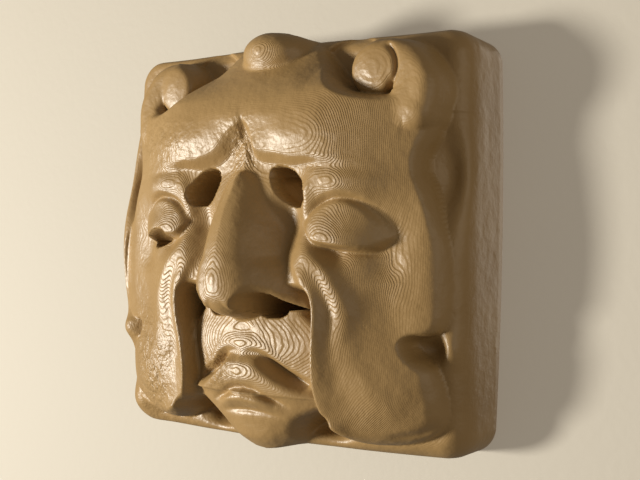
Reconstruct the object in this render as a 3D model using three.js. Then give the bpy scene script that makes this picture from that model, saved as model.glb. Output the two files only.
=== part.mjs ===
// Carved face plaque: a square wall tile whose front is a squared grotesque mask, made as one piece.
// Millimetres. X runs to the viewer's right and Z up. The flat back lies on Y = 0 with its middle at the
// origin, and the mask looks towards -Y. A height is how far the front stands off the wall.
import * as THREE from 'three';

// The tile
const SIDE = 100;
const HALF = SIDE / 2;
const CORNER_DEPTH = 16;
const CROWN = 6.6;
const CORNER_RADIUS = 6.5;
const SIDE_BOW = 1.0;
const KNOB_OVERHANG = 1.7;

// The rounded edge of the front: how far it reaches inwards where it is deepest, and its depth along x
const EDGE_ROUND = 4.8;
const EDGE_DEPTH = [[-HALF, 1.6], [0, 4.5], [HALF, 7.0]];

// The mesh
const CELLS = 64;
const PATH_STEPS = 6;
const SAMPLE_REACH = 0.6;

// The mask's outline from the knob down to the chin, in stretches of [x, z, width over which the edge rises]
const STEM_EDGE = [[0, 52, 5], [6.5, 50.8, 4], [11.8, 48.4, 2.4], [15.8, 44.6, 2], [19.2, 40.6, 2],
  [22.8, 37, 2]];
const SCROLL_EDGE = [[27.2, 34.9, 2.4], [33, 34.4, 3], [39, 35.6, 4], [43.6, 35.8, 4]];
const HORN_EDGE = [[46.6, 33, 3.4], [46.4, 29.8, 3.2], [45.6, 26.6, 3], [44.4, 23.2, 2.6],
  [42.8, 19.8, 2.2]];
const TEMPLE_EDGE = [[42.6, 16.4, 2], [44.6, 11, 2.2], [46.4, 5, 2.4], [48, -1, 3], [48.6, -8.5, 3.2],
  [48.2, -15, 3], [46.8, -19.2, 2.2]];
const NOTCH_EDGE = [[44.4, -20.8, 1.6], [41.2, -21.4, 1.4], [39.7, -22.8, 1.4], [40.9, -25, 1.8],
  [43.4, -26.6, 2.6]];
const JOWL_EDGE = [[45.4, -28.4, 3], [46.4, -31.5, 3.4], [46.9, -36.5, 3.4], [46, -41.5, 3.6],
  [41.8, -44.9, 4], [34, -46.8, 4], [27.5, -46.6, 3.4]];
const MOUTH_CORNER_EDGE = [[23.3, -43.8, 2.2], [22, -41, 2], [19.4, -40.2, 2], [15.4, -42, 2.4],
  [12.2, -44.6, 3]];
const CHIN_EDGE = [[9.8, -48.8, 4], [5, -51.2, 5], [0, -52, 5]];
const PAST_MIDDLE = 12;

// How fast a form falls once it is past its edge, so that it never shows there
const FALL_AWAY = 30;

// Helpers that shape a height
const clamp = (value, low, high) => Math.min(Math.max(value, low), high);
const ease = (low, high, value) => {
  const share = clamp((value - low) / (high - low), 0, 1);
  return share * share * (3 - 2 * share);
};
const quarterRound = (share) => Math.sqrt(1 - (1 - clamp(share, 0, 1)) ** 2);
const blendMax = (a, b, reach) => {
  const share = clamp(0.5 + 0.5 * (a - b) / reach, 0, 1);
  return b + (a - b) * share + reach * share * (1 - share);
};

// 0 well before an edge and past beyond it, with the edge rounded
const bend = (past, radius) => (past + Math.hypot(past, 2 * radius)) / 2;

// Distance from an oval's centre, 1 on its outline; turn is in degrees
function ovalDistance(x, z, oval) {
  const turn = THREE.MathUtils.degToRad(oval.turn ?? 0);
  const along = (x - oval.x) * Math.cos(turn) + (z - oval.z) * Math.sin(turn);
  const across = (z - oval.z) * Math.cos(turn) - (x - oval.x) * Math.sin(turn);
  return Math.hypot(along / oval.rx, across / oval.rz);
}

// A soft mound, and a boss that ends on its oval
const mound = (x, z, oval) => oval.high * Math.exp(-(ovalDistance(x, z, oval) ** 2));
const boss = (x, z, oval) => oval.high * Math.max(1 - ovalDistance(x, z, oval) ** 2, 0) ** (oval.round ?? 1);

// A smooth line through a few points, whose third number, if there is one, changes smoothly along it
function line(points) {
  const curve = new THREE.CatmullRomCurve3(
    points.map(([x, z, width = 0]) => new THREE.Vector3(x, z, width)), false, 'catmullrom', 0.5);
  return curve.getPoints(PATH_STEPS * (points.length - 1));
}

// The place on a line that is nearest to a point
function nearest(path, x, z) {
  let found = { distance: Infinity };
  for (let index = 0; index + 1 < path.length; index += 1) {
    const start = path[index];
    const dx = path[index + 1].x - start.x;
    const dz = path[index + 1].y - start.y;
    const part = clamp(((x - start.x) * dx + (z - start.y) * dz) / (dx * dx + dz * dz), 0, 1);
    const offX = x - start.x - part * dx;
    const offZ = z - start.y - part * dz;
    const distance = Math.hypot(offX, offZ);
    if (distance < found.distance) {
      const width = start.z + (path[index + 1].z - start.z) * part;
      found = { distance, width, share: (index + part) / (path.length - 1), left: dx * offZ - dz * offX > 0 };
    }
  }
  return found;
}

// A value that changes smoothly through [place, value] pairs
function graded(pairs, place) {
  const last = pairs.length - 1;
  if (place <= pairs[0][0]) return pairs[0][1];
  if (place >= pairs[last][0]) return pairs[last][1];
  const index = pairs.findIndex((pair) => pair[0] > place) - 1;
  const slope = (at) => {
    const low = pairs[Math.max(at - 1, 0)];
    const high = pairs[Math.min(at + 1, last)];
    return (high[1] - low[1]) / (high[0] - low[0]);
  };
  const [x0, y0] = pairs[index];
  const [x1, y1] = pairs[index + 1];
  const span = x1 - x0;
  const share = (place - x0) / span;
  const rest = 1 - share;
  return y0 * rest * rest * (1 + 2 * share) + y1 * share * share * (3 - 2 * share)
    + span * share * rest * (slope(index) * rest - slope(index + 1) * share);
}

// The same for values spread evenly from 0 to 1
function spread(values, share) {
  return graded(values.map((value, index) => [index / (values.length - 1), value]), share);
}

// A ridge or, with negative heights, a groove along a line; each side has its own flank
function fold(x, z, ridge) {
  const near = nearest(ridge.path, x, z);
  const flank = near.left ? ridge.left : ridge.right;
  return spread(ridge.high, near.share) * Math.exp(-((near.distance / flank) ** 2));
}

// The top of a round bar that follows a line, flatter on a side that has a higher power
function bar(x, z, form) {
  const near = nearest(form.path, x, z);
  const radius = spread(form.radius, near.share);
  const across = near.distance / radius;
  const power = (near.left ? form.left : form.right) ?? 2;
  const drop = radius * (1 - Math.sqrt(1 - Math.min(across, 1) ** power));
  return spread(form.top, near.share) - drop - FALL_AWAY * Math.max(across - 1, 0);
}

// The front of the bare tile: deepest along its middle lines, shallowest at the corners, with its hollows
const SCROLL_PIT = { x: 20.8, z: 41, rx: 9, rz: 9, high: 12, round: 0.9 };
const BESIDE_TEMPLE = { x: 46.5, z: 15, rx: 3.4, rz: 9, high: 4 };
const NOTCH_PIT = { x: 43.5, z: -24, rx: 3.5, rz: 2.5, high: 2.5 };
const BESIDE_CHIN = { x: 17, z: -44, rx: 5, rz: 3.2, high: 7 };
const NOTCH_MOUND = { x: 48.2, z: -24, rx: 2.6, rz: 3.5, high: 1.6 };

function groundHeight(x, z) {
  const bare = CORNER_DEPTH + CROWN * (1 - clamp((x * z / HALF ** 2) ** 2, 0, 1));
  const hollows = boss(x, z, SCROLL_PIT) + mound(x, z, BESIDE_TEMPLE) + mound(x, z, BESIDE_CHIN);
  return bare - hollows - mound(x, z, NOTCH_PIT) + mound(x, z, NOTCH_MOUND);
}

const MASK_EDGE = line([...STEM_EDGE, ...SCROLL_EDGE, ...HORN_EDGE, ...TEMPLE_EDGE, ...NOTCH_EDGE,
  ...JOWL_EDGE, ...MOUTH_CORNER_EDGE, ...CHIN_EDGE]);
const MASK_HALF = [{ x: -PAST_MIDDLE, y: 52 }, ...MASK_EDGE, { x: -PAST_MIDDLE, y: -52 }];

// Whether a point lies in the mask's half, by how often a line to its right crosses the outline
function inMask(x, z) {
  const crossings = MASK_HALF.filter((start, index) => {
    const end = MASK_HALF[(index + 1) % MASK_HALF.length];
    if ((start.y > z) === (end.y > z)) return false;
    return x < start.x + (z - start.y) * (end.x - start.x) / (end.y - start.y);
  });
  return crossings.length % 2 === 1;
}

// How much of the mask's height is reached: 0 outside its outline, 1 well inside
function maskShare(x, z) {
  if (!inMask(x, z)) return 0;
  const near = nearest(MASK_EDGE, x, z);
  return quarterRound(near.distance / near.width);
}

// The bare dome of the face, which falls off to the sides, to the chin and up to the knob
const DOME_TOP = 38;
const SIDE_SLOPE = 0.54;
const SIDE_START = 24;
const SIDE_ROUND = 4;
const CHIN_FALL = 7;
const KNOB_FALL = 8.6;
const KNOB_START = 29;
const STEM_FALL = 0.02;
const STEM_REACH = 16;

function faceDome(x, z) {
  const toSide = SIDE_SLOPE * (bend(x - SIDE_START, SIDE_ROUND) - bend(-SIDE_START, SIDE_ROUND));
  const toChin = CHIN_FALL * clamp(-z / HALF, 0, 1) ** 3.5;
  const toKnob = KNOB_FALL * clamp((z - KNOB_START) / 14, 0, 1.4) ** 1.6 * Math.exp(-((x / 30) ** 2));
  const besideStem = STEM_FALL * Math.min(x, STEM_REACH) ** 2 * ease(34, 44, z);
  return DOME_TOP - toSide - toChin - toKnob - besideStem;
}

// The brow: a heavy roll whose lower edge runs from a peak over the nose out to the temple
const BROW_EDGE = line([[0, 29.6], [2.2, 27.8], [4.9, 25.4], [8.2, 21.8], [13, 20], [19, 19.5], [27, 18.6],
  [34, 17.6], [41, 16.5]]);
const BROW_STEP = [[0, 2.6], [0.25, 2.8], [0.375, 2.6], [0.5, 2.2], [0.625, 1.9], [0.75, 1.0], [0.875, 0.2],
  [1, 0]];
const BROW_RUN = [[0, 3.4], [0.375, 3.8], [0.5, 3.2], [0.65, 2.4], [1, 2.6]];
const BROW_SWELL = { x: 20, z: 25, rx: 12, rz: 6, turn: -6, high: 0.9 };
const BROW_BONE = { x: 27, z: 13.2, rx: 8.5, rz: 4.6, turn: -8, high: 3.0 };
const PIT_WALL = {
  path: line([[17.6, 6.4], [18, 11], [19.6, 14.6]]), high: [0.6, 1.1, 0.4], left: 1.6, right: 2.4,
};

function carveBrow(height, x, z) {
  const edge = nearest(BROW_EDGE, x, z);
  const below = edge.left ? -edge.distance : edge.distance;
  const run = graded(BROW_RUN, edge.share);
  const fade = Math.exp(-((Math.max(below - run, 0) / 8) ** 2));
  const step = graded(BROW_STEP, edge.share) * ease(-0.5, run, below) * fade;
  const roll = z > 0 ? 0.5 * Math.exp(-(((below + 4.5) / 4.5) ** 2)) * ease(45, 22, x) : 0;
  return height - step + roll + mound(x, z, BROW_SWELL) + mound(x, z, BROW_BONE) + fold(x, z, PIT_WALL);
}

// The closed eye: a lid that bulges over a dark slit, in a shallow socket
const LID_EDGE = line([[18.6, 2.4], [20.6, 0], [24, -1.0], [28.2, -1.6], [32, -1.9], [34.6, -1.3],
  [37.4, 1.2]]);
const SOCKET = { x: 29, z: 4, rx: 12, rz: 8, turn: -8, high: 1.5 };
const LID = { x: 27.7, z: 0.8, rx: 10.6, rz: 9.0, turn: -7, high: 3.2, round: 0.8 };
const LID_PEAK = { x: 28, z: 0.2, rx: 5.5, rz: 4, high: 0.8 };
const SLIT = { path: LID_EDGE, high: [0, -0.4, -0.7, -0.9, -1.0, -0.8, 0], left: 0.5, right: 1.6 };
const LID_CREASE = {
  path: line([[18.2, 3.6], [19.4, 6.4], [22.6, 8.9], [26.6, 9.8], [30.6, 8.8], [34.6, 5.7], [37.4, 1.6]]),
  high: [-0.1, -0.5, -1.0, -1.1, -1.0, -0.8, -0.2], left: 1.0, right: 0.8,
};
const INNER_BAG = { x: 24.4, z: -3.0, rx: 3.6, rz: 2.0, turn: -22, high: 1.7 };
const OUTER_HOLLOW = {
  path: line([[37.4, 0], [36, -5], [36.2, -9.5]]), high: [-0.8, -1.5, -0.2], left: 3.4, right: 4,
};
const CHEEK_HOLLOW = { x: 36.5, z: -16, rx: 6, rz: 7, high: 1.2 };

function carveEye(height, x, z) {
  const edge = nearest(LID_EDGE, x, z);
  const above = ease(-0.8, 0.4, edge.left ? edge.distance : -edge.distance);
  const lid = (boss(x, z, LID) + mound(x, z, LID_PEAK)) * above;
  const hollows = mound(x, z, SOCKET) + mound(x, z, INNER_BAG) + mound(x, z, CHEEK_HOLLOW);
  return height + lid - hollows + fold(x, z, SLIT) + fold(x, z, LID_CREASE) + fold(x, z, OUTER_HOLLOW);
}

// The cheeks: swags of flesh that hang from the eye, the temple's band and the jowl
const TEMPLE_BAND = {
  path: line([[39, 16.5], [43, 10], [44.6, 2], [44.8, -8], [42.6, -16]]), high: [0, 0.5, 0.7, 0.6, 0.3],
  left: 4, right: 4,
};
const SWAG = {
  path: line([[16, 0], [21.7, -4.7], [25.6, -9.8], [28.4, -15.4], [28.6, -22], [31.5, -30], [37, -37]]),
  high: [0.4, 1.3, 1.5, 1.2, 0.5, 0.4, 0.3], left: 2.2, right: 3.2,
};
const SWAG_VALLEY = {
  path: line([[18, -3.6], [22.4, -9], [24.8, -16], [24.8, -26], [27, -34]]),
  high: [0, -1.1, -1.2, -0.4, 0], left: 1.8, right: 2.0,
};
const JOWL = { x: 37, z: -35, rx: 8, rz: 8, high: 1.4 };
const JOWL_CREASE = {
  path: line([[34.4, -44.2], [40.2, -43.4], [44.6, -41.6], [46.4, -38.6]]), high: [0, -1.0, -1.0, 0],
  left: 0.8, right: 0.7,
};
const JOWL_END = { x: 25.2, z: -43, rx: 2.6, rz: 2, turn: -20, high: 1.2 };

function carveCheek(height, x, z) {
  const folds = [TEMPLE_BAND, SWAG, SWAG_VALLEY, JOWL_CREASE];
  const folded = folds.reduce((sum, ridge) => sum + fold(x, z, ridge), height);
  return folded + mound(x, z, JOWL) + mound(x, z, JOWL_END);
}

// The long fold from the nose to the jaw, and the mouth's field that falls away inside it
const LONG_FOLD = line([[12, 2.5], [13.6, -0.8], [15.6, -4.2], [19, -8.9], [20.9, -14], [21.3, -19],
  [20.8, -26], [20.6, -33], [21.6, -39], [24.4, -44]]);
const FOLD_HIGH = [[0, 0], [0.22, 0.8], [0.33, 1.9], [0.55, 2.8], [0.7, 2.4], [0.85, 1.6], [1, 0.5]];
const FIELD_FLOOR = [[-46, 19], [-38, 24], [-34, 24.5], [-20, 24.5], [-14, 25.5], [-10, 32]];
const FIELD_REACH = 3.0;
const FOLD_OUTER_FLANK = 4.2;
const FOLD_INNER_FLANK = 1.8;

function carveLongFold(height, x, z) {
  const near = nearest(LONG_FOLD, x, z);
  const inside = near.left ? -near.distance : near.distance;
  const flank = near.left ? FOLD_OUTER_FLANK : FOLD_INNER_FLANK;
  const ridged = height + graded(FOLD_HIGH, near.share) * Math.exp(-((near.distance / flank) ** 2));
  const fall = ease(-1, FIELD_REACH, inside) * ease(-9.5, -14, z);
  return ridged + (graded(FIELD_FLOOR, z) - ridged) * fall;
}

// The upper lip: a tent whose ridges run from the septum to the mouth's corners
const LIP_RIDGE_X = [[-38, 18], [-35, 16.6], [-30.1, 13.2], [-26, 10], [-22.2, 5.8], [-18.3, 0.8]];
const LIP_RIDGE_TOP = [[-38, 30.6], [-35, 32], [-30.1, 33.4], [-26, 34.8], [-22.2, 35.4], [-18.3, 35.6]];
const LIP_MIDDLE_TOP = [[-30, 36.2], [-24.3, 36.4], [-21, 35.2], [-18.5, 35.4]];
const LIP_SLOPE = 0.14;
const LIP_END = [[-36, 27], [-28, 26], [-24, 24.5], [-20, 21], [-17, 17]];
const LIP_END_ROUND = 3.0;
const LIP_END_FALL = 5.0;
const LIP_FOOT = -41;
const LIP_HEAD = -16;
const LIP_GROOVE = {
  path: line([[0, -26.8], [4.5, -26.9], [7.6, -29.0], [11.3, -31.4], [16.2, -33.6]]),
  high: [-0.5, -1.6, -3.4, -3.6, -1.6], left: 1.3, right: 1.5,
};

function carveUpperLip(height, x, z) {
  if (z <= LIP_FOOT || z >= LIP_HEAD) return height;
  const ridgeX = graded(LIP_RIDGE_X, z);
  const ridgeTop = graded(LIP_RIDGE_TOP, z);
  const inward = clamp(1 - (x / ridgeX) ** 2, 0, 1);
  const pastEnd = Math.max(x - graded(LIP_END, z) + LIP_END_ROUND, 0);
  const beyond = LIP_SLOPE * Math.max(x - ridgeX, 0) + LIP_END_FALL * Math.max(pastEnd - LIP_END_ROUND, 0)
    + LIP_END_ROUND * (1 - quarterRound(1 - pastEnd / LIP_END_ROUND));
  const top = ridgeTop + (graded(LIP_MIDDLE_TOP, z) - ridgeTop) * inward - beyond;
  return blendMax(height, top - FALL_AWAY * ease(-37, LIP_FOOT, z), 0.9);
}

// The pout: a heavy upper lip that turns down at its ends, a small lower lip, and the chin
const POUT = {
  path: line([[0, -30.8], [3.6, -31.1], [8.2, -33.1], [12.8, -35.4], [17, -36.8], [20.4, -37.4]]),
  top: [37.6, 37.3, 36.2, 34.8, 33.6, 32.4], radius: [4.8, 4.8, 4.4, 4, 3.6, 3.2],
};
const LOWER_LIP = {
  path: line([[0, -37.6], [4.4, -38.2], [8, -39.6]]), high: [2.2, 1.7, 0.4], left: 1.3, right: 1.8,
};
const MOUTH_LINE = {
  path: line([[0, -35.1], [3.4, -35.6], [7, -37.2], [11, -38.8]]), high: [-1.6, -1.6, -1.2, -0.3],
  left: 0.8, right: 0.8,
};
const CHIN_CREASE = {
  path: line([[0, -40.6], [5, -40.9], [9, -41.6]]), high: [-0.8, -0.6, -0.2], left: 0.8, right: 0.8,
};
const CHIN_TOP = [[-52, 24], [-48, 28.6], [-44, 31.2], [-40, 32.8], [-36, 34.2], [-33, 34.6]];
const CHIN_SIDES = [[-50, 10], [-46, 13], [-42, 19], [-38, 24], [-34, 26]];
const CHIN_DROP = 5.6;

function carveMouth(height, x, z) {
  const pout = blendMax(height, bar(x, z, POUT), 0.8) + fold(x, z, LIP_GROOVE);
  const chin = graded(CHIN_TOP, z) - CHIN_DROP * (x / graded(CHIN_SIDES, z)) ** 2.4;
  const onChin = ease(-34, -38, z) * ease(22, 18, x);
  const below = z < -36.5 ? chin : blendMax(pout, chin, 0.8);
  const lines = fold(x, z, LOWER_LIP) + fold(x, z, MOUTH_LINE) + fold(x, z, CHIN_CREASE);
  return pout + (below - pout) * onChin + lines;
}

// The nose: a rounded front with steep sides that taper to a root, a ball of a tip, and open nostrils
const NOSE_TOP = [[-14, 46.8], [-9, 47.2], [-2, 46.3], [5.7, 44], [12, 40.8], [14.6, 39.4], [16.2, 37.6],
  [17.4, 34], [18.4, 29]];
const NOSE_FRONT = [[-12, 5.4], [-5, 5.0], [-2, 4.8], [6, 3.8], [12, 2.7], [17, 1.2]];
const NOSE_SIDE = [[-12, 1.1], [-6.5, 1.35], [-3.5, 1.75], [6, 1.7], [14, 1.5]];
const NOSE_EDGE_ROUND = 1.6;
const NOSE_ROOT = 19;
const WING_UNDER = [[0, -13.4], [2.8, -16.0], [4.4, -15.6], [5.8, -13.6], [7.8, -12.2], [10.6, -12.6],
  [13, -14], [17, -15.8]];
const WING_ROUND = 2.6;
const UNDER_DROP = 16;
const UNDER_RUN = 0.9;
const NOSE_TIP = {
  path: line([[0, -6], [0, -8.5], [0, -11]]), top: [46.8, 47.3, 47.3], radius: [6.9, 6.9, 6.9],
};
const EYE_PIT = { x: 12.8, z: 12.6, rx: 6, rz: 3.6, turn: -42, high: 12, round: 0.5 };
const BESIDE_NOSE = { x: 12.5, z: 3, rx: 4.5, rz: 8, high: 4.0 };
const NOSTRIL = { x: 8.4, z: -15.2, rx: 4.4, rz: 3.1, high: 16, round: 0.5 };

function noseHeight(x, z) {
  const front = graded(NOSE_FRONT, z);
  const side = graded(NOSE_SIDE, z) * (bend(x - front, NOSE_EDGE_ROUND) - bend(-front, NOSE_EDGE_ROUND));
  const under = graded(WING_UNDER, x);
  const rounding = WING_ROUND * (1 - quarterRound((z - under) / WING_ROUND));
  const body = graded(NOSE_TOP, z) - side - rounding - UNDER_DROP * ease(under, under - UNDER_RUN, z);
  return blendMax(body, bar(x, z, NOSE_TIP), 0.5);
}

function carveNose(height, x, z) {
  const base = height - mound(x, z, BESIDE_NOSE) - boss(x, z, EYE_PIT);
  const nosed = z < NOSE_ROOT ? blendMax(base, noseHeight(x, z), 0.7) : base;
  return nosed - boss(x, z, NOSTRIL);
}

// The knob on top of the brow, the horn and the ball in which its scroll ends
const KNOB = { x: 0.4, z: 46, rx: 10.4, rz: 8, high: 12.2, round: 0.5 };
const KNOB_BASE = 20.2;
const HORN = {
  path: line([[39.8, 30], [40.8, 35.2], [38.2, 39.6], [34.6, 41.8], [31, 42.6]]), left: 5, right: 3.4,
  top: [30.4, 29.8, 29.2, 28.8, 28.6], radius: [6.2, 6.0, 5.6, 5.2, 4.7],
};
const BALL = { x: 30.5, z: 39.8, rx: 6.2, rz: 6.3 };
const BALL_TOP = 29.4;
const BALL_DOME = 0.9;
const BALL_ROUND = 1.7;

function addKnob(height, x, z) {
  return z > 30 ? blendMax(height, KNOB_BASE + boss(x, z, KNOB), 1.6) : height;
}

function addScroll(height, x, z) {
  const horned = z > 18 ? blendMax(height, bar(x, z, HORN), 0.7) : height;
  const across = ovalDistance(x, z, BALL);
  const inside = (1 - across) * BALL.rx;
  const edge = BALL_ROUND * (1 - quarterRound(inside / BALL_ROUND)) + FALL_AWAY * Math.max(across - 1, 0);
  return blendMax(horned, BALL_TOP - BALL_DOME * across ** 2 - edge, 0.4);
}

// The left half is not quite the mirror of the right: its eye sits higher, its long fold and horn further in,
// and its flank is fuller, with the notch nearly closed. On the right the brow drops more steeply from its peak
const LEFT_EYE = { x: 28, z: 2, rx: 13, rz: 10, high: 2.3 };
const LEFT_FOLD = { x: 19, z: -27, rx: 8, rz: 20, high: 3.6 };
const LEFT_HOLE = { x: 28.5, z: 0.4, rx: 5, rz: 2, turn: -18, high: 6, round: 0.6 };
const LEFT_HORN = { x: 44, z: 37, rx: 9, rz: 18, high: 3.6 };
const LEFT_FLANK = { x: 49, z: 0, rx: 9, rz: 24, high: 3.6 };
const LEFT_CORNER = { x: 46.5, z: -44, rx: 6, rz: 6, high: 4.0 };
const LEFT_SPREAD = 0.975;
const LEFT_SINK = { x: 20.5, z: -28, rx: 5, rz: 12, high: 1.8 };
const LEFT_NOTCH = { x: 44.5, z: -24, rx: 4.5, rz: 4, high: 5 };
const RIGHT_BROW = { x: 4.6, z: 21.6, rx: 4.2, rz: 5, high: 3.6 };

// The whole front at a place
function frontHeight(placeX, z) {
  const x = Math.abs(placeX);
  const onLeft = placeX < 0 ? 1 : 0;
  const xForm = x + onLeft * mound(x, z, LEFT_FOLD) + (1 - onLeft) * mound(x, z, RIGHT_BROW) * ease(0, 3, x);
  const zForm = z - onLeft * mound(x, z, LEFT_EYE);
  const xHorn = x + onLeft * mound(x, z, LEFT_HORN);
  const carvers = [carveBrow, carveEye, carveCheek, carveLongFold, carveUpperLip, carveMouth, carveNose];
  const mask = carvers.reduce((height, carve) => carve(height, xForm, zForm), faceDome(x, z));
  const fuller = mound(x, z, LEFT_FLANK) + mound(x, z, LEFT_CORNER) + mound(x, z, LEFT_NOTCH);
  const ground = groundHeight(x, z) + onLeft * fuller;
  const xEdge = xForm * (1 - onLeft * (1 - LEFT_SPREAD)) + xHorn - x;
  const holed = mask - onLeft * (boss(x, z, LEFT_HOLE) + mound(x, z, LEFT_SINK));
  const raised = ground + (holed - ground) * maskShare(xEdge, z);
  return addScroll(addKnob(raised, placeX, z), xHorn, z);
}

// The front without the detail that is finer than a cell
function smoothHeight(x, z) {
  const offsets = [-SAMPLE_REACH, 0, SAMPLE_REACH];
  const samples = offsets.flatMap((dx) => offsets.map((dz) => frontHeight(x + dx, z + dz)));
  return samples.reduce((sum, height) => sum + height, 0) / samples.length;
}

// A place on the tile from two shares that run from -1 to 1 across a square
function tilePlace(across, up) {
  const flat = HALF - CORNER_RADIUS;
  let x = Math.abs(across) * HALF;
  let z = Math.abs(up) * HALF;
  const pastX = Math.max(x - flat, 0);
  const pastZ = Math.max(z - flat, 0);
  if (pastX > 0 && pastZ > 0) {
    const pull = Math.max(pastX, pastZ) / Math.hypot(pastX, pastZ);
    x = flat + pastX * pull;
    z = flat + pastZ * pull;
  }
  x += SIDE_BOW * (x / HALF) * (1 - (z / HALF) ** 2);
  return [Math.sign(across) * x, Math.sign(up) * z];
}

// One point of the front, with the rim's rounded edge and the overhang of knob and chin
function frontPoint(across, up) {
  const [x, z] = tilePlace(across, up);
  const fromEdge = HALF * (1 - Math.max(Math.abs(across), Math.abs(up)));
  const depth = graded(EDGE_DEPTH, x);
  const reach = EDGE_ROUND * Math.sqrt(depth / EDGE_DEPTH[2][1]);
  const height = smoothHeight(x, z) - depth * (1 - quarterRound(fromEdge / reach));
  const nearEnd = clamp((Math.abs(z) - 44) / 6, 0, 1) * clamp((height - 20) / 5, 0, 1);
  const overhang = KNOB_OVERHANG * nearEnd * Math.exp(-((x / 8.5) ** 2));
  return [x, -height, z + Math.sign(z) * overhang];
}

// Two triangles of a cell, split along the diagonal whose ends are nearer in height
function cellFaces(positions, a, b, c, d) {
  const step = (from, to) => Math.abs(positions[3 * from + 1] - positions[3 * to + 1]);
  return step(a, c) < step(b, d) ? [a, b, c, a, c, d] : [a, b, d, b, c, d];
}

// The closed solid: the carved front, four plain sides and the flat back
function plaqueGeometry() {
  const positions = [];
  const faces = [];
  const stride = CELLS + 1;
  const share = (index) => -1 + 2 * index / CELLS;
  for (let row = 0; row <= CELLS; row += 1) {
    for (let column = 0; column <= CELLS; column += 1) {
      positions.push(...frontPoint(share(column), share(row)));
    }
  }
  for (let row = 0; row < CELLS; row += 1) {
    for (let column = 0; column < CELLS; column += 1) {
      const corner = row * stride + column;
      faces.push(...cellFaces(positions, corner, corner + 1, corner + stride + 1, corner + stride));
    }
  }
  const loop = [];
  for (let step = 0; step < CELLS; step += 1) loop.push(step);
  for (let step = 0; step < CELLS; step += 1) loop.push(step * stride + CELLS);
  for (let step = CELLS; step > 0; step -= 1) loop.push(CELLS * stride + step);
  for (let step = CELLS; step > 0; step -= 1) loop.push(step * stride);
  const backStart = positions.length / 3;
  for (const front of loop) {
    const [x, z] = tilePlace(share(front % stride), share(Math.floor(front / stride)));
    positions.push(x, 0, z);
  }
  const middle = positions.length / 3;
  positions.push(0, 0, 0);
  loop.forEach((front, step) => {
    const next = (step + 1) % loop.length;
    faces.push(front, backStart + step, backStart + next, front, backStart + next, loop[next]);
    faces.push(middle, backStart + next, backStart + step);
  });
  const geometry = new THREE.BufferGeometry();
  geometry.setAttribute('position', new THREE.Float32BufferAttribute(positions, 3));
  geometry.setIndex(faces);
  geometry.computeVertexNormals();
  return geometry;
}

const plastic = new THREE.MeshStandardMaterial({ color: 0xa38a5c, roughness: 0.38, metalness: 0.0 });

const plaque = new THREE.Mesh(plaqueGeometry(), plastic);
plaque.name = 'face_plaque';

const model = new THREE.Group();
model.add(plaque);

export default model;
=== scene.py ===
"""A square wall plaque carved with a grotesque mask, as one printed piece on a pale wall.

Shapes are worked out in millimetres in the CAD's frame: X to the viewer's right, Z up, the flat back on
Y = 0 and the mask towards -Y. A height is how far the front stands off the wall. It is worked out for a half
with x from the middle outwards, and what differs on the left or the right is named LEFT or RIGHT.
"""
import math

import bpy
from mathutils import Matrix
import numpy as np


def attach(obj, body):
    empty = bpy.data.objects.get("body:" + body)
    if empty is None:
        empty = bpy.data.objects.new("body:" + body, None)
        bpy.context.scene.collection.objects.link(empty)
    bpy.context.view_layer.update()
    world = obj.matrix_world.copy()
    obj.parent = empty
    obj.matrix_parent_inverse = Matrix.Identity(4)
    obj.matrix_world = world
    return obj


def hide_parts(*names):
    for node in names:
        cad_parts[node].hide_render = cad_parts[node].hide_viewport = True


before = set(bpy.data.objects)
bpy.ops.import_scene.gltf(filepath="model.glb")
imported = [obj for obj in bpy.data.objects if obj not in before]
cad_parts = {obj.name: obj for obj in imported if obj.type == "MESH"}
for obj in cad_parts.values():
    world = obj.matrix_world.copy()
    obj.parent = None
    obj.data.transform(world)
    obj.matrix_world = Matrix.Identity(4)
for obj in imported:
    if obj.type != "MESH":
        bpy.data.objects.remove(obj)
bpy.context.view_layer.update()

# Sizes. An oval has a centre, two radii, a turn in degrees and a height; a line has its points and, for each
# side of it, a width. Pairs give a value at a place, and a range gives where an ease is 0 and where it is 1
MM = 0.001
SIDE = 100.0
HALF = SIDE / 2
CORNER_DEPTH = 16.0
CROWN = 6.6
CORNER_RADIUS = 6.5
SIDE_BOW = 1.0
EDGE_ROUND = 4.8
# How far the front's edge is rounded down, from the left side to the right
EDGE_DEPTH = [(-HALF, 1.6), (0, 4.5), (HALF, 7.0)]
KNOB_OVERHANG = 1.7
OVERHANG_FROM = 44
OVERHANG_RUN = 6
OVERHANG_HEIGHT = 20
OVERHANG_RISE = 5
OVERHANG_REACH = 8.5
FALL_AWAY = 30.0
CELLS = 300
PATH_STEPS = 8
LEAST = 1e-9

# The mask's outline from the knob down to the chin: x, z and the width over which the edge rises
STEM_EDGE = [(0, 52, 5), (6.5, 50.8, 4), (11.8, 48.4, 2.4), (15.8, 44.6, 2), (19.2, 40.6, 2),
             (22.8, 37, 2)]
SCROLL_EDGE = [(27.2, 34.9, 2.4), (33, 34.4, 3), (39, 35.6, 4), (43.6, 35.8, 4)]
HORN_EDGE = [(46.6, 33, 3.4), (46.4, 29.8, 3.2), (45.6, 26.6, 3), (44.4, 23.2, 2.6), (42.8, 19.8, 2.2)]
TEMPLE_EDGE = [(42.6, 16.4, 2), (44.6, 11, 2.2), (46.4, 5, 2.4), (48, -1, 3), (48.6, -8.5, 3.2),
               (48.2, -15, 3), (46.8, -19.2, 2.2)]
NOTCH_EDGE = [(44.4, -20.8, 1.6), (41.2, -21.4, 1.4), (39.7, -22.8, 1.4), (40.9, -25, 1.8),
              (43.4, -26.6, 2.6)]
JOWL_EDGE = [(45.4, -28.4, 3), (46.4, -31.5, 3.4), (46.9, -36.5, 3.4), (46, -41.5, 3.6), (41.8, -44.9, 4),
             (34, -46.8, 4), (27.5, -46.6, 3.4)]
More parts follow.
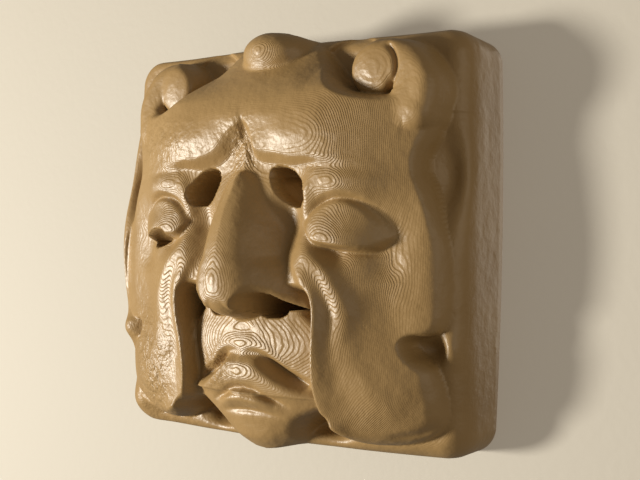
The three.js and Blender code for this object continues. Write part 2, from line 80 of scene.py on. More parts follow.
MOUTH_CORNER_EDGE = [(23.3, -43.8, 2.2), (22, -41, 2), (19.4, -40.2, 2), (15.4, -42, 2.4),
                     (12.2, -44.6, 3)]
CHIN_EDGE = [(9.8, -48.8, 4), (5, -51.2, 5), (0, -52, 5)]
PAST_MIDDLE = 12.0


# Helpers that shape a height
def ease(low, high, value):
    """0 at low, 1 at high, with level ends: three times the share squared less twice its cube."""
    share = np.clip((value - low) / (high - low), 0, 1)
    return share * share * (3 - 2 * share)


def quarter_round(share):
    """The rise of a quarter circle, 0 at 0 and 1 at 1: the root of 1 less the rest of the share squared."""
    return np.sqrt(1 - (1 - np.clip(share, 0, 1)) ** 2)


def blend_max(a, b, reach):
    """The larger of two heights, with the corner between them rounded over reach: a mix of the two, plus
    reach times the mix's share times the rest of it.
    """
    share = np.clip(0.5 + 0.5 * (a - b) / reach, 0, 1)
    return b + (a - b) * share + reach * share * (1 - share)


def bend(past, radius):
    """0 well before an edge and past beyond it: half of past plus its hypotenuse with twice the radius."""
    return (past + np.hypot(past, 2 * radius)) / 2


def oval_distance(x, z, oval):
    """Distance from an oval's centre in its own turned axes, each over its radius, so 1 on its outline."""
    turn = math.radians(oval.get("turn", 0))
    along = (x - oval["x"]) * math.cos(turn) + (z - oval["z"]) * math.sin(turn)
    across = (z - oval["z"]) * math.cos(turn) - (x - oval["x"]) * math.sin(turn)
    return np.hypot(along / oval["rx"], across / oval["rz"])


def mound(x, z, oval):
    """A soft bell: high times exp of minus the oval distance squared."""
    return oval["high"] * np.exp(-oval_distance(x, z, oval) ** 2)


def boss(x, z, oval):
    """A form that ends on its oval: high times 1 less the oval distance squared, to the power round."""
    return oval["high"] * np.maximum(1 - oval_distance(x, z, oval) ** 2, 0) ** oval.get("round", 1)


def line(points):
    """Samples of a smooth cubic curve through points whose third number, if any, changes along with it."""
    knots = np.array([tuple(p) + (0,) * (3 - len(p)) for p in points], float)
    knots = np.vstack([2 * knots[0] - knots[1], knots, 2 * knots[-1] - knots[-2]])
    p0, p1, p2, p3 = knots[:-3, None], knots[1:-2, None], knots[2:-1, None], knots[3:, None]
    t = (np.arange(PATH_STEPS) / PATH_STEPS)[None, :, None]
    curve = 0.5 * (2 * p1 + (p2 - p0) * t + (2 * p0 - 5 * p1 + 4 * p2 - p3) * t ** 2
                   + (3 * p1 - p0 - 3 * p2 + p3) * t ** 3)
    return np.vstack([curve.reshape(-1, 3), knots[-2]])


def nearest(path, x, z):
    """Distance to a line, the share along it, its third number there, and whether the place is left of it."""
    best = np.full(x.shape, np.inf)
    share, width, left = np.zeros(x.shape), np.zeros(x.shape), np.zeros(x.shape, bool)
    steps = len(path) - 1
    for index in range(steps):
        (ax, az, aw), (bx, bz, bw) = path[index], path[index + 1]
        dx, dz = bx - ax, bz - az
        part = np.clip(((x - ax) * dx + (z - az) * dz) / (dx * dx + dz * dz), 0, 1)
        off_x, off_z = x - ax - part * dx, z - az - part * dz
        distance = off_x ** 2 + off_z ** 2
        closer = distance < best
        best = np.where(closer, distance, best)
        share = np.where(closer, (index + part) / steps, share)
        width = np.where(closer, aw + (bw - aw) * part, width)
        left = np.where(closer, dx * off_z - dz * off_x > 0, left)
    return np.sqrt(best), share, width, left


def graded(pairs, place):
    """A value that changes smoothly through pairs of place and value: cubic pieces with matched slopes."""
    at, value = np.array(pairs, float).T
    order = np.arange(len(at))
    low, high = np.maximum(order - 1, 0), np.minimum(order + 1, len(at) - 1)
    slope = (value[high] - value[low]) / (at[high] - at[low])
    index = np.clip(np.searchsorted(at, place, side="right") - 1, 0, len(at) - 2)
    span = at[index + 1] - at[index]
    share = np.clip((place - at[index]) / span, 0, 1)
    rest = 1 - share
    return (value[index] * rest * rest * (1 + 2 * share) + value[index + 1] * share * share * (3 - 2 * share)
            + span * share * rest * (slope[index] * rest - slope[index + 1] * share))


def spread(values, share):
    """A graded value whose pairs stand evenly from 0 to 1."""
    return graded(list(zip(np.linspace(0, 1, len(values)), values)), share)


def fold(x, z, ridge):
    """A ridge or groove along a line: high there, times exp of minus the squared distance over the flank."""
    distance, share, _, left = nearest(ridge["path"], x, z)
    flank = np.where(left, ridge["left"], ridge["right"])
    return spread(ridge["high"], share) * np.exp(-(distance / flank) ** 2)


def bar(x, z, form):
    """A round bar along a line: its top less a circle's drop to each side, squarer for a higher power."""
    distance, share, _, left = nearest(form["path"], x, z)
    radius = spread(form["radius"], share)
    across = distance / radius
    power = np.where(left, form.get("left", 2), form.get("right", 2))
    drop = radius * (1 - np.sqrt(1 - np.minimum(across, 1) ** power))
    return spread(form["top"], share) - drop - FALL_AWAY * np.maximum(across - 1, 0)


# The tile's own front
SCROLL_PIT = dict(x=20.8, z=41, rx=9, rz=9, high=12, round=0.9)
BESIDE_TEMPLE = dict(x=46.5, z=15, rx=3.4, rz=9, high=4)
NOTCH_MOUND = dict(x=48.2, z=-24, rx=2.6, rz=3.5, high=1.6)
NOTCH_PIT = dict(x=43.5, z=-24, rx=3.5, rz=2.5, high=2.5)
BESIDE_CHIN = dict(x=17, z=-44, rx=5, rz=3.2, high=7)


def ground_height(x, z):
    """The bare front: lowest at its corners, higher by the crown along its middle lines, with its hollows."""
    bare = CORNER_DEPTH + CROWN * (1 - np.clip((x * z / HALF ** 2) ** 2, 0, 1))
    hollows = boss(x, z, SCROLL_PIT) + mound(x, z, BESIDE_TEMPLE) + mound(x, z, BESIDE_CHIN)
    return bare - hollows - mound(x, z, NOTCH_PIT) + mound(x, z, NOTCH_MOUND)


MASK_EDGE = line(STEM_EDGE + SCROLL_EDGE + HORN_EDGE + TEMPLE_EDGE + NOTCH_EDGE + JOWL_EDGE
                 + MOUTH_CORNER_EDGE + CHIN_EDGE)


def in_mask(x, z):
    """Whether a line from a place to its right crosses the mask's outline an odd number of times."""
    top, foot = MASK_EDGE[0, 1], MASK_EDGE[-1, 1]
    loop = np.vstack([(-PAST_MIDDLE, top, 0), MASK_EDGE, (-PAST_MIDDLE, foot, 0)])
    inside = np.zeros(x.shape, bool)
    for (ax, az, _), (bx, bz, _) in zip(loop, np.roll(loop, -1, axis=0)):
        if az != bz:
            inside ^= ((az > z) != (bz > z)) & (x < ax + (z - az) * (bx - ax) / (bz - az))
    return inside


def mask_share(x, z):
    """How much of the mask's height is reached: 0 outside its outline, rising as a quarter circle."""
    distance, _, width, _ = nearest(MASK_EDGE, x, z)
    return np.where(in_mask(x, z), quarter_round(distance / width), 0)


# The face's bare dome
DOME_TOP = 38
SIDE_SLOPE = 0.54
SIDE_START = 24
SIDE_ROUND = 4
CHIN_FALL = 7
CHIN_FALL_POWER = 3.5
KNOB_FALL = 8.6
KNOB_FALL_POWER = 1.6
KNOB_START = 29
KNOB_RUN = 14
KNOB_RUNS_MOST = 1.4
KNOB_REACH = 30
STEM_FALL = 0.02
STEM_REACH = 16
STEM_RANGE = (34, 44)


def face_dome(x, z):
    """The dome's top less its falls to the side, the chin and the knob, and beside the knob's stem."""
    to_side = SIDE_SLOPE * (bend(x - SIDE_START, SIDE_ROUND) - bend(-SIDE_START, SIDE_ROUND))
    to_chin = CHIN_FALL * np.clip(-z / HALF, 0, 1) ** CHIN_FALL_POWER
    runs = np.clip((z - KNOB_START) / KNOB_RUN, 0, KNOB_RUNS_MOST)
    to_knob = KNOB_FALL * runs ** KNOB_FALL_POWER * np.exp(-(x / KNOB_REACH) ** 2)
    beside_stem = STEM_FALL * np.minimum(x, STEM_REACH) ** 2 * ease(*STEM_RANGE, z)
    return DOME_TOP - to_side - to_chin - to_knob - beside_stem


# The left half is not quite the mirror of the right: its eye sits higher, with a small hole under it, its
# fold and horn lie further in, and its flank is fuller, with the notch nearly closed. On the right the brow's
# edge drops more steeply beside the nose
LEFT_EYE = dict(x=28, z=2, rx=13, rz=10, high=2.3)
LEFT_FOLD = dict(x=19, z=-27, rx=8, rz=20, high=3.6)
LEFT_HOLE = dict(x=28.5, z=0.4, rx=5, rz=2, turn=-18, high=6, round=0.6)
LEFT_HORN = dict(x=44, z=37, rx=9, rz=18, high=3.6)
LEFT_FLANK = dict(x=49, z=0, rx=9, rz=24, high=3.6)
LEFT_CORNER = dict(x=46.5, z=-44, rx=6, rz=6, high=4.0)
LEFT_NOTCH = dict(x=44.5, z=-24, rx=4.5, rz=4, high=5)
LEFT_SINK = dict(x=20.5, z=-28, rx=5, rz=12, high=1.8)
LEFT_SPREAD = 0.975
RIGHT_BROW = dict(x=4.6, z=21.6, rx=4.2, rz=5, high=3.6)
RIGHT_BROW_RANGE = (0, 3)

# The brow: a heavy roll whose lower edge runs from a peak over the nose out to the temple
BROW_EDGE = line([(0, 29.6), (2.2, 27.8), (4.9, 25.4), (8.2, 21.8), (13, 20), (19, 19.5), (27, 18.6),
                  (34, 17.6), (41, 16.5)])
BROW_STEP = [(0, 2.6), (0.25, 2.8), (0.375, 2.6), (0.5, 2.2), (0.625, 1.9), (0.75, 1.0), (0.875, 0.2),
             (1, 0)]
BROW_LEAD = 0.5
BROW_FADE = 8
BROW_ROLL = 0.5
BROW_ROLL_WIDTH = 4.5
BROW_ROLL_RANGE = (45, 22)
BROW_SWELL = dict(x=20, z=25, rx=12, rz=6, turn=-6, high=0.9)
BROW_RUN = [(0, 3.4), (0.375, 3.8), (0.5, 3.2), (0.65, 2.4), (1, 2.6)]
BROW_BONE = dict(x=27, z=13.2, rx=8.5, rz=4.6, turn=-8, high=3.0)
PIT_WALL = dict(path=line([(17.6, 6.4), (18, 11), (19.6, 14.6)]), high=[0.6, 1.1, 0.4], left=1.6,
                right=2.4)


def carve_brow(height, x, z):
    """Drops the face below the brow's edge by an eased step that fades out, swells the roll above it by a
    bell across that edge, and adds the bone over the eye.
    """
    distance, share, _, left = nearest(BROW_EDGE, x, z)
    below = np.where(left, -distance, distance)
    run = graded(BROW_RUN, share)
    step = graded(BROW_STEP, share) * ease(-BROW_LEAD, run, below)
    step = step * np.exp(-(np.maximum(below - run, 0) / BROW_FADE) ** 2)
    roll = BROW_ROLL * np.exp(-((below + BROW_ROLL_WIDTH) / BROW_ROLL_WIDTH) ** 2)
    swell = roll * ease(*BROW_ROLL_RANGE, x) * (z > 0) + mound(x, z, BROW_SWELL)
    return height - step + swell + mound(x, z, BROW_BONE) + fold(x, z, PIT_WALL)


# The closed eye: a lid that bulges over a dark slit, in a shallow socket
LID_EDGE = line([(18.6, 2.4), (20.6, 0), (24, -1.0), (28.2, -1.6), (32, -1.9), (34.6, -1.3), (37.4, 1.2)])
SOCKET = dict(x=29, z=4, rx=12, rz=8, turn=-8, high=1.5)
LID = dict(x=27.7, z=0.8, rx=10.6, rz=9.0, turn=-7, high=3.2, round=0.8)
LID_PEAK = dict(x=28, z=0.2, rx=5.5, rz=4, high=0.8)
SLIT = dict(path=LID_EDGE, high=[0, -0.4, -0.7, -0.9, -1.0, -0.8, 0], left=0.5, right=1.6)
LID_RANGE = (-0.8, 0.4)
LID_CREASE = dict(path=line([(18.2, 3.6), (19.4, 6.4), (22.6, 8.9), (26.6, 9.8), (30.6, 8.8), (34.6, 5.7),
                             (37.4, 1.6)]),
                  high=[-0.1, -0.5, -1.0, -1.1, -1.0, -0.8, -0.2], left=1.0, right=0.8)
INNER_BAG = dict(x=24.4, z=-3.0, rx=3.6, rz=2.0, turn=-22, high=1.7)
OUTER_HOLLOW = dict(path=line([(37.4, 0), (36, -5), (36.2, -9.5)]), high=[-0.8, -1.5, -0.2], left=3.4,
                    right=4)
CHEEK_HOLLOW = dict(x=36.5, z=-16, rx=6, rz=7, high=1.2)


def carve_eye(height, x, z):
    """Sinks the socket by mounds, swells the lid's boss above its edge, and cuts the slit and the creases."""
    distance, _, _, left = nearest(LID_EDGE, x, z)
    above = ease(*LID_RANGE, np.where(left, distance, -distance))
    hollows = mound(x, z, SOCKET) + mound(x, z, INNER_BAG) + mound(x, z, CHEEK_HOLLOW)
    lid = (boss(x, z, LID) + mound(x, z, LID_PEAK)) * above
    return height + lid - hollows + fold(x, z, SLIT) + fold(x, z, LID_CREASE) + fold(x, z, OUTER_HOLLOW)


# The cheeks: swags of flesh that hang from the eye, the temple's band and the jowl
TEMPLE_BAND = dict(path=line([(39, 16.5), (43, 10), (44.6, 2), (44.8, -8), (42.6, -16)]),
                   high=[0, 0.5, 0.7, 0.6, 0.3], left=4, right=4)
SWAG = dict(path=line([(16, 0), (21.7, -4.7), (25.6, -9.8), (28.4, -15.4), (28.6, -22), (31.5, -30),
                       (37, -37)]),
            high=[0.4, 1.3, 1.5, 1.2, 0.5, 0.4, 0.3], left=2.2, right=3.2)
SWAG_VALLEY = dict(path=line([(18, -3.6), (22.4, -9), (24.8, -16), (24.8, -26), (27, -34)]),
                   high=[0, -1.1, -1.2, -0.4, 0], left=1.8, right=2.0)
JOWL = dict(x=37, z=-35, rx=8, rz=8, high=1.4)
JOWL_CREASE = dict(path=line([(34.4, -44.2), (40.2, -43.4), (44.6, -41.6), (46.4, -38.6)]),
                   high=[0, -1.0, -1.0, 0], left=0.8, right=0.7)
JOWL_END = dict(x=25.2, z=-43, rx=2.6, rz=2, turn=-20, high=1.2)


def carve_cheek(height, x, z):
    """Adds the hanging folds along their lines, and the jowl and its end as mounds."""
    for ridge in (TEMPLE_BAND, SWAG, SWAG_VALLEY, JOWL_CREASE):
        height = height + fold(x, z, ridge)
    return height + mound(x, z, JOWL) + mound(x, z, JOWL_END)


# The long fold from the nose to the jaw, and the mouth's field that falls away inside it
LONG_FOLD = line([(12, 2.5), (13.6, -0.8), (15.6, -4.2), (19, -8.9), (20.9, -14), (21.3, -19), (20.8, -26),
                  (20.6, -33), (21.6, -39), (24.4, -44)])
FOLD_HIGH = [(0, 0), (0.22, 0.8), (0.33, 1.9), (0.55, 2.8), (0.7, 2.4), (0.85, 1.6), (1, 0.5)]
FIELD_FLOOR = [(-46, 19), (-38, 24), (-34, 24.5), (-30, 24.5), (-20, 24.5), (-14, 25.5), (-10, 32)]
FIELD_LEAD = 1
FIELD_REACH = 3.0
FIELD_RANGE = (-9.5, -14)
FOLD_OUTER_FLANK = 4.2
FOLD_INNER_FLANK = 1.8


def carve_long_fold(height, x, z):
    """Raises the fold by a bell across its line, and eases the field inside it down to its floor."""
    distance, share, _, left = nearest(LONG_FOLD, x, z)
    inside = np.where(left, -distance, distance)
    flank = np.where(left, FOLD_OUTER_FLANK, FOLD_INNER_FLANK)
    ridged = height + graded(FOLD_HIGH, share) * np.exp(-(distance / flank) ** 2)
    fall = ease(-FIELD_LEAD, FIELD_REACH, inside) * ease(*FIELD_RANGE, z)
    return ridged + (graded(FIELD_FLOOR, z) - ridged) * fall


# The upper lip: a tent whose ridges run from the septum to the mouth's corners
LIP_RIDGE_X = [(-38, 18), (-35, 16.6), (-30.1, 13.2), (-26, 10), (-22.2, 5.8), (-18.3, 0.8)]
LIP_RIDGE_TOP = [(-38, 30.6), (-35, 32), (-30.1, 33.4), (-26, 34.8), (-22.2, 35.4), (-18.3, 35.6)]
LIP_MIDDLE_TOP = [(-30, 36.2), (-24.3, 36.4), (-21, 35.2), (-18.5, 35.4)]
LIP_SLOPE = 0.14
LIP_END = [(-36, 27), (-28, 26), (-24, 24.5), (-20, 21), (-17, 17)]
LIP_END_ROUND = 3.0
LIP_END_FALL = 5.0
LIP_FOOT = -41
LIP_FADE_FROM = -37
LIP_HEAD = -16
LIP_BLEND = 0.9
LIP_GROOVE = dict(path=line([(0, -26.8), (4.5, -26.9), (7.6, -29.0), (11.3, -31.4), (16.2, -33.6)]),
                  high=[-0.5, -1.6, -3.4, -3.6, -1.6], left=1.3, right=1.5)


def carve_upper_lip(height, x, z):
    """Blends in the tent: between its ridges its top goes to the middle's by a parabola, and beyond them it
    slopes out to the long fold and ends in a quarter round.
    """
    ridge_x, ridge_top = graded(LIP_RIDGE_X, z), graded(LIP_RIDGE_TOP, z)
    inward = np.clip(1 - (x / ridge_x) ** 2, 0, 1)
    past_end = np.maximum(x - graded(LIP_END, z) + LIP_END_ROUND, 0)
    rounding = LIP_END_ROUND * (1 - quarter_round(1 - past_end / LIP_END_ROUND))
    beyond = LIP_SLOPE * np.maximum(x - ridge_x, 0) + rounding
    beyond = beyond + LIP_END_FALL * np.maximum(past_end - LIP_END_ROUND, 0)
    top = ridge_top + (graded(LIP_MIDDLE_TOP, z) - ridge_top) * inward - beyond
    lip = blend_max(height, top - FALL_AWAY * ease(LIP_FADE_FROM, LIP_FOOT, z), LIP_BLEND)
    return np.where((z > LIP_FOOT) & (z < LIP_HEAD), lip, height)


# The pout: a heavy upper lip that turns down at its ends, a small lower lip, and the chin
POUT = dict(path=line([(0, -30.8), (3.6, -31.1), (8.2, -33.1), (12.8, -35.4), (17, -36.8), (20.4, -37.4)]),
            top=[37.6, 37.3, 36.2, 34.8, 33.6, 32.4], radius=[4.8, 4.8, 4.4, 4, 3.6, 3.2])
POUT_BLEND = 0.8
LOWER_LIP = dict(path=line([(0, -37.6), (4.4, -38.2), (8, -39.6)]), high=[2.2, 1.7, 0.4], left=1.3, right=1.8)
MOUTH_LINE = dict(path=line([(0, -35.1), (3.4, -35.6), (7, -37.2), (11, -38.8)]),
                  high=[-1.6, -1.6, -1.2, -0.3], left=0.8, right=0.8)
CHIN_CREASE = dict(path=line([(0, -40.6), (5, -40.9), (9, -41.6)]), high=[-0.8, -0.6, -0.2],
                   left=0.8, right=0.8)
CHIN_TOP = [(-52, 24), (-48, 28.6), (-44, 31.2), (-40, 32.8), (-36, 34.2), (-33, 34.6)]
CHIN_SIDES = [(-50, 10), (-46, 13), (-42, 19), (-38, 24), (-34, 26)]
CHIN_DROP = 5.6
CHIN_DROP_POWER = 2.4
CHIN_HEAD = -33
CHIN_ALONE = -36.5
CHIN_RANGE = (-34, -38)
CHIN_WIDE_RANGE = (22, 18)


def carve_mouth(height, x, z):
    """Blends in the pout's bar and under it the chin, whose top drops by a power of x over its half width,
    then adds the lower lip and the lines.
    """
    pout = blend_max(height, bar(x, z, POUT), POUT_BLEND) + fold(x, z, LIP_GROOVE)
    chin = graded(CHIN_TOP, z) - CHIN_DROP * (x / graded(CHIN_SIDES, z)) ** CHIN_DROP_POWER
    joined = blend_max(np.where(z < CHIN_ALONE, chin, pout), chin, POUT_BLEND)
    below = np.where(z < CHIN_HEAD, joined, pout)
    on_chin = ease(*CHIN_RANGE, z) * ease(*CHIN_WIDE_RANGE, x)
    mouth = pout + (below - pout) * on_chin
    return mouth + fold(x, z, LOWER_LIP) + fold(x, z, MOUTH_LINE) + fold(x, z, CHIN_CREASE)


# The nose: a rounded front with steep sides that taper to a root, a ball of a tip, and open nostrils
NOSE_TOP = [(-14, 46.8), (-9, 47.2), (-2, 46.3), (5.7, 44), (12, 40.8), (14.6, 39.4), (16.2, 37.6),
            (17.4, 34), (18.4, 29)]
NOSE_FRONT = [(-12, 5.4), (-5, 5.0), (-2, 4.8), (6, 3.8), (12, 2.7), (17, 1.2)]
NOSE_SIDE = [(-12, 1.1), (-6.5, 1.35), (-3.5, 1.75), (6, 1.7), (14, 1.5)]
NOSE_EDGE_ROUND = 1.6
NOSE_ROOT = 19
NOSE_BLEND = 0.7
WING_UNDER = [(0, -13.4), (2.8, -16.0), (4.4, -15.6), (5.8, -13.6), (7.8, -12.2), (10.6, -12.6), (13, -14),
              (17, -15.8)]
WING_ROUND = 2.6
UNDER_DROP = 16
UNDER_RUN = 0.9
TIP_BLEND = 0.5
NOSE_TIP = dict(path=line([(0, -6), (0, -8.5), (0, -11.0)]), top=[46.8, 47.3, 47.3], radius=[6.9, 6.9, 6.9])
EYE_PIT = dict(x=12.8, z=12.6, rx=6, rz=3.6, turn=-42, high=12, round=0.5)
BESIDE_NOSE = dict(x=12.5, z=3, rx=4.5, rz=8, high=4.0)
NOSTRIL = dict(x=8.4, z=-15.2, rx=4.4, rz=3.1, high=16, round=0.5)


def nose_height(x, z):
    """The nose alone: its profile less its sides' slope times the bend past its front's edge, rounded and
    cut off under the wings, and blended with the tip's bar.
    """
    front = graded(NOSE_FRONT, z)
    side = graded(NOSE_SIDE, z) * (bend(x - front, NOSE_EDGE_ROUND) - bend(-front, NOSE_EDGE_ROUND))
    under = graded(WING_UNDER, x)
    rounding = WING_ROUND * (1 - quarter_round((z - under) / WING_ROUND))
    rounding = rounding + UNDER_DROP * ease(under, under - UNDER_RUN, z)
    body = graded(NOSE_TOP, z) - side - rounding
    return blend_max(body, bar(x, z, NOSE_TIP), TIP_BLEND)


def carve_nose(height, x, z):
    """Hollows the face beside the nose and at the eye's corner, sets the nose on it and opens its nostril."""
    base = height - mound(x, z, BESIDE_NOSE) - boss(x, z, EYE_PIT)
    nosed = np.where(z < NOSE_ROOT, blend_max(base, nose_height(x, z), NOSE_BLEND), base)
    return nosed - boss(x, z, NOSTRIL)


# The knob on top of the brow, the horn and the ball in which its scroll ends
KNOB = dict(x=0.4, z=46, rx=10.4, rz=8, high=12.2, round=0.5)
KNOB_BASE = 20.2
KNOB_FROM = 30
KNOB_BLEND = 1.6
HORN = dict(path=line([(39.8, 30), (40.8, 35.2), (38.2, 39.6), (34.6, 41.8), (31, 42.6)]), left=5, right=3.4,
            top=[30.4, 29.8, 29.2, 28.8, 28.6], radius=[6.2, 6.0, 5.6, 5.2, 4.7])
HORN_FROM = 18
HORN_BLEND = 0.7
BALL = dict(x=30.5, z=39.8, rx=6.2, rz=6.3)
BALL_TOP = 29.4
BALL_DOME = 0.9
BALL_ROUND = 1.7
BALL_BLEND = 0.4
SEAM_DEPTH = 1.3
SEAM_WIDTH = 0.6
# In degrees about the ball, from its outer side
SEAM_TOP_RANGE = (70, 40)
SEAM_FOOT_RANGE = (-70, -35)


def add_knob(height, x, z):
    """Blends the knob's dome into the forehead."""
    return np.where(z > KNOB_FROM, blend_max(height, KNOB_BASE + boss(x, z, KNOB), KNOB_BLEND), height)


def add_scroll(height, x, z, side):
    """Blends in the horn's bar and the ball, a parabola with a quarter round at its edge. On the right it
    cuts a seam beside the ball: a bell across its outline.
    """
    horned = np.where(z > HORN_FROM, blend_max(height, bar(x, z, HORN), HORN_BLEND), height)
    across = oval_distance(x, z, BALL)
    inside = (1 - across) * BALL["rx"]
    bearing = np.degrees(np.arctan2(z - BALL["z"], x - BALL["x"]))
    seam = SEAM_DEPTH * (side > 0) * ease(*SEAM_TOP_RANGE, bearing) * ease(*SEAM_FOOT_RANGE, bearing)
    seam = seam * np.exp(-(inside / SEAM_WIDTH) ** 2)
    edge = BALL_ROUND * (1 - quarter_round(inside / BALL_ROUND)) + FALL_AWAY * np.maximum(across - 1, 0)
    ball = BALL_TOP - BALL_DOME * across ** 2 - edge
    return blend_max(horned, ball, BALL_BLEND) - seam


def front_height(x, z, side):
    """The front's height at x from the middle, to the right for side 1 or to the left for side -1: the
    ground, plus the mask's share of what stands above it, with the knob and the scroll on top.
    """
    on_left = (1 - side) / 2
    brow_shift = (1 - on_left) * mound(x, z, RIGHT_BROW) * ease(*RIGHT_BROW_RANGE, x)
    x_form = x + on_left * mound(x, z, LEFT_FOLD) + brow_shift
    z_form = z - on_left * mound(x, z, LEFT_EYE)
    x_horn = x + on_left * mound(x, z, LEFT_HORN)
    mask = face_dome(x, z)
    for carve in (carve_brow, carve_eye, carve_cheek, carve_long_fold, carve_upper_lip, carve_mouth,
                  carve_nose):
        mask = carve(mask, x_form, z_form)
    mask = mask - on_left * (boss(x, z, LEFT_HOLE) + mound(x, z, LEFT_SINK))
    fuller = mound(x, z, LEFT_FLANK) + mound(x, z, LEFT_CORNER) + mound(x, z, LEFT_NOTCH)
    ground = ground_height(x, z) + on_left * fuller
    x_edge = x_form * (1 - on_left * (1 - LEFT_SPREAD)) + x_horn - x
    raised = ground + (mask - ground) * mask_share(x_edge, z)
    return add_scroll(add_knob(raised, side * x, z), x_horn, z, side)


def tile_place(across, up):
    """A place on the tile from its shares across and up: a square with its corners pulled round and its two
    upright sides bowed out by a parabola.
    """
    flat = HALF - CORNER_RADIUS
    x, z = across * HALF, np.abs(up) * HALF
    past_x, past_z = np.maximum(x - flat, 0), np.maximum(z - flat, 0)
    pull = np.maximum(past_x, past_z) / np.maximum(np.hypot(past_x, past_z), LEAST)
    corner = (past_x > 0) & (past_z > 0)
    x = np.where(corner, flat + past_x * pull, x)
    z = np.where(corner, flat + past_z * pull, z)
    return x + SIDE_BOW * (x / HALF) * (1 - (z / HALF) ** 2), np.sign(up) * z


def front_grid(cells):
    """The front's x, height and z, with rows upwards and columns to the right. Its edge drops by a quarter
    round, and the knob and the chin lean out over it.
    """
    across, up = np.meshgrid(np.linspace(0, 1, cells // 2 + 1), np.linspace(-1, 1, cells + 1))
    x, z = tile_place(across, up)
    from_edge = HALF * (1 - np.maximum(across, np.abs(up)))
    halves = []
    for side in (-1, 1):
        depth = graded(EDGE_DEPTH, side * x)
        width = depth ** 0.5 * EDGE_ROUND / EDGE_DEPTH[-1][1] ** 0.5
        height = front_height(x, z, side) - depth * (1 - quarter_round(from_edge / width))
        near_end = np.clip((np.abs(z) - OVERHANG_FROM) / OVERHANG_RUN, 0, 1)
        near_end = near_end * np.clip((height - OVERHANG_HEIGHT) / OVERHANG_RISE, 0, 1)
        lean = np.sign(z) * KNOB_OVERHANG * near_end * np.exp(-(x / OVERHANG_REACH) ** 2)
        halves.append((side * x, height, z + lean))
    left, right = halves
    return [np.concatenate([grid[:, :0:-1], other], axis=1) for grid, other in zip(left, right)]


# Where the print shows its layers plainly, and where its skin is blistered; here x is to the viewer's right
LAYERED = [dict(x=27, z=26, rx=9, rz=7, high=0.9), dict(x=0, z=45, rx=9, rz=7, high=0.8),
           dict(x=33, z=38, rx=6, rz=4, high=0.6), dict(x=14, z=18.5, rx=14, rz=2.6, high=0.9),
           dict(x=27, z=13, rx=9, rz=4.5, high=0.8), dict(x=26, z=3, rx=8, rz=5, high=0.7),
           dict(x=-3, z=-8, rx=5, rz=7, high=0.9), dict(x=-6, z=2, rx=3, rz=12, high=0.7),
           dict(x=0, z=19, rx=7, rz=5, high=0.6), dict(x=2, z=-25, rx=16, rz=7, high=1.0),
           dict(x=-3, z=-32, rx=8, rz=4, high=0.6), dict(x=25, z=-10, rx=6, rz=11, high=0.8),
           dict(x=37, z=-6, rx=4, rz=8, high=0.7), dict(x=36, z=-41, rx=9, rz=5, high=0.7),
           dict(x=-29, z=9, rx=13, rz=12, high=0.9), dict(x=-19, z=-14, rx=6, rz=18, high=0.8)]
LAYERED_LEAST = 0.12
LAYERED_SLOPE_RANGE = (1.1, 0.3)
BLISTERED = [dict(x=-36, z=-33, rx=10, rz=14, high=1.0), dict(x=-1, z=22, rx=4, rz=6, high=0.8),
             dict(x=-30, z=24, rx=12, rz=6, high=0.5), dict(x=-9, z=-31, rx=5, rz=4, high=0.6)]

# The piece's mesh
WALL_ROWS = 6
BACK_BEVEL = 0.5

# The square that a bake fills: the front, a strip for each side wall and a small back
FRONT_UV = 0.86
STRIP_UV = 0.065
BACK_UV = 0.125
UV_GAP = 0.005


def unfold(cell, back_corners):
    """Each face corner's place in the bake's square: the front's grid, the walls as strips, a small back."""
    share = np.arange(CELLS + 1) / CELLS
    grid = np.stack(np.meshgrid(share, share), axis=-1).reshape(-1, 2)
    front = UV_GAP + (FRONT_UV - 2 * UV_GAP) * grid[cell.ravel()]
    along = (np.arange(4 * CELLS) % CELLS) / CELLS
    along = np.stack([along, along, along + 1 / CELLS, along + 1 / CELLS], axis=-1)[None]
    down = np.arange(WALL_ROWS + 2) / (WALL_ROWS + 1)
    down = np.stack([down[:-1], down[1:], down[1:], down[:-1]], axis=-1)[:, None]
    wall = (np.arange(4 * CELLS) // CELLS)[None, :, None]
    upright = wall % 2 == 1
    long_way = UV_GAP + (FRONT_UV - 2 * UV_GAP) * along + 0 * down
    short_way = FRONT_UV + UV_GAP + STRIP_UV * (wall // 2)
    short_way = short_way + (STRIP_UV - 2 * UV_GAP) * np.where(upright, down, 1 - down)
    walls = np.stack([np.where(upright, short_way, long_way), np.where(upright, long_way, short_way)], -1)
    width = 2 * (HALF + SIDE_BOW)
    back = FRONT_UV + UV_GAP + BACK_UV * (0.5 + back_corners * (-1, 1) / width)
    return np.concatenate([front, walls.reshape(-1, 2), back])


def back_outline(loop):
    """The tile's outline on the wall, point for point with the front's grid."""
    at = np.linspace(-1, 1, CELLS + 1)
    across, up = np.meshgrid(at, at)
    x, z = tile_place(np.abs(across), up)
    return np.stack([x * np.sign(across), np.zeros_like(x), z], axis=-1).reshape(-1, 3)[loop]


def side_rings(rim, foot):
    """Rings of points in equal steps from the rim to the bevel's edge, then one on the wall, set in by it."""
    down = (np.arange(1, WALL_ROWS + 1) / WALL_ROWS)[:, None, None]
    edge = foot + (0, -BACK_BEVEL, 0)
    inset = foot * (1 - BACK_BEVEL / HALF, 1, 1 - BACK_BEVEL / HALF)
    return np.concatenate([rim + (edge - rim) * down, inset[None]])


def add_attribute(mesh, name, on_front, count):
    """A number at each point of the mesh: the front grid's values, then 0."""
    values = np.zeros(count, np.float32)
    values[:on_front.size] = on_front.ravel()
    mesh.attributes.new(name, "FLOAT", "POINT").data.foreach_set("value", values)


